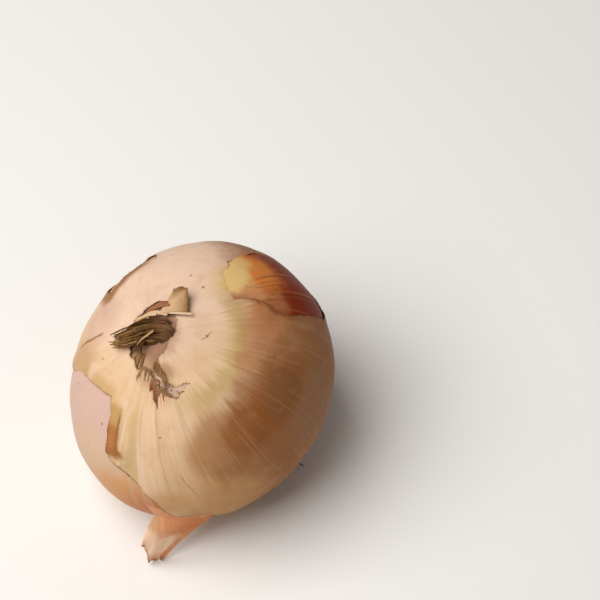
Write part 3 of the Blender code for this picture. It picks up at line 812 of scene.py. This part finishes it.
finish, shader, place = start_finish("orange_skin")
skin = Skin(place)
down, side = place.attribute("down"), place.attribute("side")
FLAP_ORANGE = (0.76, 0.33, 0.155, 1)
FLAP_RED = (0.62, 0.22, 0.08, 1)
FLAP_PALE = (0.96, 0.68, 0.46, 1)
FLAP_TAN = (0.68, 0.43, 0.25, 1)
FLAP_TIP = (0.80, 0.36, 0.19, 1)
FLAP_EDGE = (0.26, 0.11, 0.05, 1)
blur = (skin.way.grain(12.0, 3.0) - 0.5) * 0.3
color = (side.rise(0.35, 0.85) * down.rise(0.75, 0.45)).mix(FLAP_ORANGE, FLAP_RED)
color = ((side - down * 0.3 + blur).rise(0.25, -0.2) * 0.8).mix(color, FLAP_TAN)
color = ((down + blur - side * 0.1).rise(0.38, 0.62) * side.rise(0.95, 0.6)).mix(color, FLAP_PALE)
color = ((side + blur).rise(0.75, 0.9) * (down + blur).rise(0.4, 0.6) * 0.45).mix(color, FLAP_TAN)
color = ((down + blur).rise(0.78, 0.95) * 0.8).mix(color, FLAP_TIP)
color = ((side + blur * 0.5).rise(0.80, 0.97) * 0.6).mix(color, FLAP_RED)
color = (skin.streaks(40, 1.6).rise(0.5, 0.7) * 0.25).mix(color, FLAP_PALE)
color = ((down + (skin.way.grain(30.0, 3.0) - 0.5) * 0.10).rise(0.92, 0.99) * 0.8).mix(color, FLAP_EDGE)
relief = skin.streaks(60, 2.0) * 0.7 + skin.way.grain(50.0, 3.0) * 0.3
end_finish(shader, color, 0.45, SKIN_SHINE, relief, 0.3, SKIN_RELIEF)
flap = piece_from("hanging_flap", bm, finish)
wall = flap.modifiers.new("thickness", "SOLIDIFY")
wall.thickness = FLAP_SHEET
wall.offset = 1.0
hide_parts("skin_flap")

# The dried neck: the withered ends of the leaves. They come up out of the neck as a ring of broad dry
# sheaths, bend over to the left together and end as a bunch of flat brown strands, with a papery tan
# collar, a rolled red-brown sheath end and cream shreds round their foot.

# The course of the strands from foot to end, in millimetres: on the bend's outer side, on its inner side,
# and their spread across it
NECK_COURSE = [
    ((4.8, 0.5, 37.4), (-2.8, 0.5, 37.2), 3.6),
    ((5.0, 0.6, 39.3), (-3.2, 0.5, 38.2), 3.7),
    ((3.7, 0.9, 41.2), (-4.2, 0.5, 38.9), 3.7),
    ((0.4, 1.0, 42.6), (-5.8, 0.4, 39.1), 3.5),
    ((-4.0, 0.8, 42.3), (-8.0, 0.2, 38.9), 3.2),
    ((-8.8, 0.4, 41.0), (-10.8, 0.0, 38.3), 2.8),
    ((-14.2, 0.9, 38.6), (-15.4, 0.4, 37.0), 2.0),
]
SHEATHS = 34
STRANDS = 64
FIBRES = 50
STRAND_STEPS = 4
# Widths and thicknesses, and how far a strand strays at its foot and more at each step, in millimetres
SHEATH_WIDTH = (0.8, 1.7)
SHEATH_THICKNESS = 0.4
STRAND_WIDTH = (0.6, 1.35)
STRAND_THICKNESS = (0.14, 0.26)
FIBRE = (0.24, 0.18)
STRAY = (0.16, 0.06)
UPWARDS = Vector((0, 0, 1))


def smooth_path(points, steps):
    """Points along a smooth curve through the points given."""
    points = [Vector(point) for point in points]
    ends = [points[0] * 2 - points[1]] + points + [points[-1] * 2 - points[-2]]
    path = []
    for before, start, end, after in zip(ends, ends[1:], ends[2:], ends[3:]):
        for step in range(steps):
            t = step / steps
            linear = (end - before) * t
            square = (before * 2 - start * 5 + end * 4 - after) * t * t
            cube = (start * 3 - before - end * 3 + after) * t * t * t
            path.append((start * 2 + linear + square + cube) / 2)
    path.append(points[-1])
    return path


def start_strands(seed):
    """An empty bmesh for strands, its layer of tones, and its random draws."""
    bm = bmesh.new()
    return bm, bm.verts.layers.float.new("tone"), random.Random(seed)


def add_strand(bm, tone_layer, path, width, thickness, facing, tones, twist=0.0, tip=0.2, sides=8):
    """A closed flat strand along a path in millimetres, its tone running from the first to the second."""
    last = len(path) - 1
    rings = []
    for step, place in enumerate(path):
        share = step / last
        along = (path[min(step + 1, last)] - path[max(step - 1, 0)]).normalized()
        across = along.cross(facing).normalized()
        over = across.cross(along)
        size = 1 - (1 - tip) * share ** 3
        ring = []
        for number in range(sides):
            angle = 2 * math.pi * number / sides
            flat = across * math.cos(angle) * width / 2 + over * math.sin(angle) * thickness / 2
            flat = Matrix.Rotation(twist * share, 3, along) @ flat
            vert = bm.verts.new(onion_matrix @ ((place + flat * size) * MM))
            vert[tone_layer] = tones[0] + (tones[1] - tones[0]) * share
            ring.append(vert)
        rings.append(ring)
    for ring, after in zip(rings, rings[1:]):
        for number in range(sides):
            other = (number + 1) % sides
            bm.faces.new((ring[number], ring[other], after[other], after[number]))
    bm.faces.new(list(reversed(rings[0])))
    bm.faces.new(rings[-1])


def scatter(draw, amount):
    """A small random step in millimetres."""
    return Vector([draw.uniform(-amount, amount) for _ in range(3)])


bm, tone_layer, draw = start_strands(21)
for number in range(SHEATHS + STRANDS + FIBRES):
    # The sheaths stand in a ring round the foot, and the strands and fibres fill it
    if number < SHEATHS:
        angle = 2 * math.pi * (number + draw.random()) / SHEATHS
        out = draw.uniform(0.84, 1.06)
    else:
        angle = draw.uniform(0, 2 * math.pi)
        out = math.sqrt(draw.uniform(0.1, 0.95))
    outer_share = 0.5 + 0.5 * out * math.cos(angle)
    points = []
    for step, (outer_guide, inner_guide, spread) in enumerate(NECK_COURSE):
        point = Vector(inner_guide).lerp(Vector(outer_guide), outer_share)
        point.y += spread * out * math.sin(angle)
        points.append(point + scatter(draw, STRAY[0] + STRAY[1] * step))
    path = smooth_path(points, STRAND_STEPS)
    facing = Vector((math.cos(angle), math.sin(angle), 0.6))
    tone = draw.uniform(0.0, 0.40)
    if number < SHEATHS:
        path = path[: int(len(path) * draw.uniform(0.5, 0.9))]
        width, twist = draw.uniform(*SHEATH_WIDTH), draw.uniform(-0.7, 0.7)
        add_strand(bm, tone_layer, path, width, SHEATH_THICKNESS, facing, (tone + 0.14, tone), twist, 0.3, 10)
    elif number < SHEATHS + STRANDS:
        path = path[: int(len(path) * draw.uniform(0.86, 1.02))]
        width, thickness = draw.uniform(*STRAND_WIDTH), draw.uniform(*STRAND_THICKNESS)
        twist = draw.uniform(-1.2, 1.2)
        add_strand(bm, tone_layer, path, width, thickness, facing, (tone, tone + 0.2), twist, 0.4)
    else:
        path = path[: int(len(path) * draw.uniform(0.7, 1.0))]
        add_strand(bm, tone_layer, path, *FIBRE, facing, (tone, tone + 0.4), 0.0, 0.4, 5)

# Single strands: width, thickness, the tones of their ends, twist, and their path in millimetres. Loose
# ones lie on the bunch, pale papery ones along its foot, red-brown ones make the rolled sheath end, and the
# last three hang down at the left.
SINGLE_STRANDS = [
    (0.8, 0.25, 0.62, 0.66, 0.3, (0.6, -0.6, 43.5), (-1, -1.5, 43.4), (-3.4, -2.4, 42.6), (-5.4, -3.4, 41.3)),
    (0.8, 0.25, 0.3, 0.5, 0.2, (-6.6, -1.5, 41.9), (-9.4, -1.4, 40.6), (-12.5, -0.6, 39), (-15.9, 0.8, 37.2)),
    (0.65, 0.25, 0.2, 0.5, -0.3, (-6, -2.9, 41.3), (-9, -3, 40), (-12.2, -2.2, 38.6), (-14.6, -1.4, 37.6)),
    (1.5, 0.6, 0.1, 0.12, 0.8, (-2.8, -2.6, 42), (-3.9, -3.6, 41.6), (-4.5, -4.5, 40.6), (-4.5, -5.6, 39.2)),
    (0.9, 0.3, 0.15, 0.3, -0.6, (-4.4, -1.8, 41.8), (-5.6, -3.2, 40.9), (-6.4, -4, 39.8), (-7.4, -4.6, 38.8)),
    (1.3, 0.2, 0.86, 0.92, 0.4, (3.6, 5.6, 39.6), (0.4, 6.6, 40), (-2.2, 6.8, 39.6), (-4.6, 6.2, 38.9)),
    (1.1, 0.2, 0.9, 0.8, -0.3, (0.4, 6, 40.2), (-2.4, 6.3, 39.8), (-5, 5.8, 39.2), (-7, 5.2, 38.6)),
    (0.9, 0.2, 0.66, 0.8, 0.3, (-2.2, 5.6, 39.4), (-4, 6.2, 39), (-6, 6.4, 38.4), (-7.6, 6, 38)),
    (0.8, 0.25, 0.92, 0.97, 0.2, (10.6, 5.4, 37.6), (7.6, 5.7, 38.5), (4, 6.1, 39.4), (0.6, 7, 39.3)),
    (1.3, 0.8, 1.22, 1.15, 0.9, (4, 9.4, 38.9), (1.6, 9.5, 39.5), (-1.2, 8.7, 39.2), (-3.4, 7.9, 38.6)),
    (1.3, 0.8, 1.16, 1.21, 0.7, (4.2, 8.5, 39.1), (1.8, 8.6, 39.7), (-0.8, 8, 39.5), (-4, 7.3, 38.6)),
    (1.0, 0.5, 0.3, 0.44, 0.5, (3.4, 8.4, 38.8), (1, 8.4, 39.3), (-1.6, 7.8, 39.1), (-3, 7.3, 38.6)),
    (0.5, 0.5, 0.16, 0.3, 0.5, (2.6, 9.6, 39.4), (0.8, 9.9, 39.7), (-1, 9.2, 39.6), (-2.6, 8.6, 39.1)),
    (1.3, 0.2, 0.5, 0.62, 0.4, (-6.4, -3.6, 38), (-7.6, -4.8, 37.4), (-8.6, -5.8, 36.8), (-9.6, -7, 36.3)),
    (1.4, 0.2, 0.42, 0.6, -0.4, (-5.6, -4.4, 38), (-6.6, -5.8, 37.4), (-7.2, -7.2, 36.9), (-8, -8.8, 36.2)),
    (1.0, 0.2, 0.35, 0.55, 0.4, (-4.4, -5, 38), (-5.2, -6.6, 37.4), (-6, -8.2, 36.8), (-6.6, -9.8, 36.2)),
]
for width, thickness, first_tone, last_tone, twist, *points in SINGLE_STRANDS:
    path = smooth_path(points, 6)
    add_strand(bm, tone_layer, path, width, thickness, UPWARDS, (first_tone, last_tone), twist, 0.3, 10)

# The papery collar: a thin sheet that stands up from its foot line to its ragged end line
COLLAR_FOOT = [(0.6, 5.6, 39.9), (4.6, 6.2, 39.6), (9.6, 6.0, 37.9)]
COLLAR_END = [(5.2, 12.9, 38.6), (7.4, 14.2, 38.4), (9.6, 13.6, 37.6)]
COLLAR_GRID = 18
COLLAR_THICKNESS = 0.2 * MM
COLLAR_RAGGED = 0.22
COLLAR_CORNERS = 0.08
COLLAR_CRUMPLE = 0.5
COLLAR_CURL = 0.9
# Its tone, and how much darker and how far in at its torn rim and at its left side
COLLAR_TONE = 0.86
COLLAR_RIM = (0.50, 0.22)
COLLAR_SIDE = (0.15, 0.05)
foot_line = smooth_path(COLLAR_FOOT, COLLAR_GRID // 2)
end_line = smooth_path(COLLAR_END, COLLAR_GRID // 2)
made = bmesh.ops.create_grid(bm, x_segments=COLLAR_GRID, y_segments=COLLAR_GRID, size=0.5)
collar = set(made["verts"])
for vert in made["verts"]:
    across, up = vert.co.x + 0.5, vert.co.y + 0.5
    column = round(across * COLLAR_GRID)
    ragged = 1 + COLLAR_RAGGED * noise.noise(Vector((across * 4, 1.5, 0)))
    ragged -= COLLAR_CORNERS * (1 - math.sin(math.pi * across)) ** 3
    place = foot_line[column].lerp(end_line[column], up * ragged)
    place.z += COLLAR_CRUMPLE * noise.noise(Vector((across * 2.5, up * 2.5, 3))) + COLLAR_CURL * up ** 3
    rim = COLLAR_RIM[0] * math.exp(-min(1 - across, 1 - up) / COLLAR_RIM[1])
    vert[tone_layer] = COLLAR_TONE - rim - COLLAR_SIDE[0] * math.exp(-across / COLLAR_SIDE[1])
    vert.co = onion_matrix @ (place * MM)
sheet = [face for face in bm.faces if face.verts[0] in collar]
bmesh.ops.solidify(bm, geom=sheet, thickness=COLLAR_THICKNESS)

NECK_CORE = (-2.2, -0.6, 42.2)
NECK_SHADE = (0.030, 0.012, 0.004, 1)
TONE_RANGE = 1.25
LEAF_RELIEF = 0.3 * MM
finish, shader, place = start_finish("dry_leaf")
tone = place.attribute("tone")
local = onion_place(place)
long_way = local.vector("MULTIPLY", (0.35, 2.2, 2.2))
mottle = (long_way.grain(1.6, 4.0, 0.65) - 0.5) * 0.5
shaded = (tone + mottle * tone.rise(1.3, 0.1)) / TONE_RANGE
# From nearly black through brown and tan to pale paper, and beyond it red-brown for the rolled sheath end
color = shaded.node("ShaderNodeValToRGB", {"stops": [
    (0.0, (0.038, 0.016, 0.004, 1)), (0.16, (0.100, 0.042, 0.009, 1)), (0.34, (0.22, 0.105, 0.028, 1)),
    (0.50, (0.44, 0.26, 0.12, 1)), (0.66, (0.64, 0.41, 0.23, 1)), (0.78, (0.80, 0.59, 0.42, 1)),
    (0.90, (0.44, 0.20, 0.10, 1)), (1.0, (0.23, 0.080, 0.030, 1)),
]}, {"Fac": shaded})
dark = tone.rise(0.6, 0.4)
color = (local.part(0).rise(-2.0, 5.5) * dark * 0.45).mix(color, PURPLE_BROWN)
near_core = local.vector("DISTANCE", NECK_CORE, output=1).rise(6.0, 1.5)
color = (near_core * dark * 0.4).mix(color, NECK_SHADE)
end_finish(shader, color, 0.75, 0.1, long_way.grain(3.0, 4.0, 0.6), 0.5, LEAF_RELIEF)
neck = piece_from("withered_neck", bm, finish)
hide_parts("dried_neck")
dry_leaf = finish

# The fray: the torn upper edge of the outer skin below the neck has broken into short dark shreds and
# hairs. They lie along the tear and the crack beside it, and longer rust-red ones hang down over the skin.

# Each run of shreds: its course, then their number, widths and reaches in millimetres, tones and turns
FRAY_TEAR = [(244, 12.4), (255, 14.2), (265, 17.2), (272.3, 22.0), (283.5, 26.0)]
FRAY_RUNS = [
    (FRAY_TEAR, 50, (0.25, 0.55), (0.4, 1.3), (0.42, 0.62), 0.6),
    ([(262, 10.5), (272, 12.5), (277, 16), (277, 20)], 26, (0.3, 0.6), (1.4, 3.4), (0.36, 0.56), 0.25),
    ([(270, 21), (280, 22.5), (290, 23.4)], 7, (0.15, 0.4), (0.4, 1.0), (0.2, 0.5), 1.6),
    ([(288, 24), (292, 26)], 5, (0.2, 0.4), (0.5, 1.2), (0.34, 0.5), 0.8),
    ([(258, 17), (263, 18.5), (269, 21)], 13, (0.4, 0.9), (2.5, 6.0), (1.12, 1.19), 0.05),
    ([(236, 13.6), (246, 13.6), (258, 16)], 9, (0.3, 0.6), (1.6, 4.0), (0.50, 0.62), 0.12),
]
FRAY_HEIGHT = 0.62
FRAY_THICKNESS = 0.13
FRAY_STEPS = 3
FRAY_SCATTER = (1.3, 0.45)

bm, tone_layer, draw = start_strands(8)
for course, number, widths, reaches, tones, turns in FRAY_RUNS:
    for _ in range(number):
        spot = draw.uniform(0, len(course) - 1.001)
        start, share = int(spot), spot % 1
        lons, polars = zip(course[start], course[start + 1])
        lon = between(lons, share) + draw.gauss(0, FRAY_SCATTER[0])
        polar = between(polars, share) + draw.gauss(0, FRAY_SCATTER[1])
        reach = draw.uniform(*reaches)
        turn = draw.gauss(0, turns)
        points = []
        for step in range(FRAY_STEPS + 1):
            ahead = step / FRAY_STEPS * reach / DEGREE
            way = turn + 0.4 * turns * step * draw.uniform(-1, 1)
            here = math.radians(polar + ahead * math.cos(way))
            there = math.radians(lon + ahead * math.sin(way) / max(0.2, math.sin(here)))
            lift = FRAY_HEIGHT + neck_fold(there, here) / MM + draw.uniform(-0.05, 0.3) * step / FRAY_STEPS
            points.append(bulb_point(there, here) / MM + bulb_normal(there, here) * lift)
        facing = bulb_normal(math.radians(lon), math.radians(polar))
        tone = draw.uniform(*tones)
        path = smooth_path(points, 3)
        width = draw.uniform(*widths)
        add_strand(bm, tone_layer, path, width, FRAY_THICKNESS, facing, (tone, tone + 0.08), 0.4, 0.3, 5)
fray = piece_from("frayed_shreds", bm, dry_leaf)

# The roots: a corky plate grown in the dip under the bulb and its dried wiry roots, bent outwards between
# the bulb and the table. One long root strays out to the right.
PLATE_RADIUS = 5.6
PLATE_TOP = -31.4
PLATE_BOTTOM = -34.2
ROOTS = 110
ROOT_WIDTH = (0.34, 0.6)
ROOT_ROOM_HEADING = math.radians(34)
ROOT_REACHES = (4.5, 8.5)
ROOT_LOWEST = 0.55 * MM
# Where a root bends: the share of its length, and its drop below the plate and its stray in millimetres
ROOT_BENDS = [(1 / 3, 1.2, 0.4), (0.7, 1.4, 0.8), (1.0, 1.5, 1.0)]
LONG_ROOT = [(11.5, 6.0, 2.2), (17, 1.5, 1.1), (24.5, -5.2, 1.0), (31.2, -9.6, 1.2)]

bm, tone_layer, draw = start_strands(3)
made = bmesh.ops.create_uvsphere(bm, u_segments=56, v_segments=28, radius=1.0)
for vert in made["verts"]:
    rough = 1 + 0.10 * noise.noise(vert.co * 4.0)
    place = Vector((vert.co.x, vert.co.y, 0)) * PLATE_RADIUS * rough
    place.z = (PLATE_TOP + PLATE_BOTTOM) / 2 + vert.co.z * rough * (PLATE_TOP - PLATE_BOTTOM) / 2
    vert[tone_layer] = 0.35
    vert.co = onion_matrix @ (place * MM)
for number in range(ROOTS):
    lon = 2 * math.pi * draw.random()
    ways = Vector((math.cos(lon), math.sin(lon), 0))
    room = 0.5 + 0.5 * math.cos(lon - ROOT_ROOM_HEADING)
    start_out = PLATE_RADIUS * draw.uniform(0.3, 0.9)
    length = between(ROOT_REACHES, room) * draw.uniform(0.6, 1.1)
    sink = draw.uniform(0, 2.5)
    points = [ways * start_out + Vector((0, 0, PLATE_BOTTOM + 1.0))]
    for share, drop, stray in ROOT_BENDS:
        depth = Vector((0, 0, PLATE_BOTTOM - drop - sink * share))
        points.append(ways * (start_out + length * share) + depth + scatter(draw, stray))
    path = []
    for place in smooth_path(points, 5):
        world = onion_matrix @ (place * MM)
        world.z = max(world.z, ROOT_LOWEST)
        path.append(onion_inverse @ world / MM)
    tone = draw.uniform(0.4, 0.72)
    width = draw.uniform(*ROOT_WIDTH)
    add_strand(bm, tone_layer, path, width, width * 0.8, UPWARDS, (tone, tone + 0.08), 0.0, 0.5, 6)
points = [onion_inverse @ (Vector(point) * MM) / MM for point in LONG_ROOT]
add_strand(bm, tone_layer, smooth_path(points, 10), 0.62, 0.55, UPWARDS, (0.5, 0.2), 0.0, 0.5, 8)

finish, shader, place = start_finish("dry_root")
local = onion_place(place)
shaded = place.attribute("tone") + (local.grain(0.9, 4.0, 0.65) - 0.5) * 0.4
color = shaded.node("ShaderNodeValToRGB", {"stops": [
    (0.0, (0.05, 0.025, 0.01, 1)), (0.35, (0.20, 0.11, 0.045, 1)),
    (0.6, (0.42, 0.27, 0.13, 1)), (0.9, (0.62, 0.45, 0.26, 1)),
]}, {"Fac": shaded})
end_finish(shader, color, 0.85, 0.5, local.grain(2.5, 4.0, 0.6), 0.5, LEAF_RELIEF)
roots = piece_from("wiry_roots", bm, finish)
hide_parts("roots")
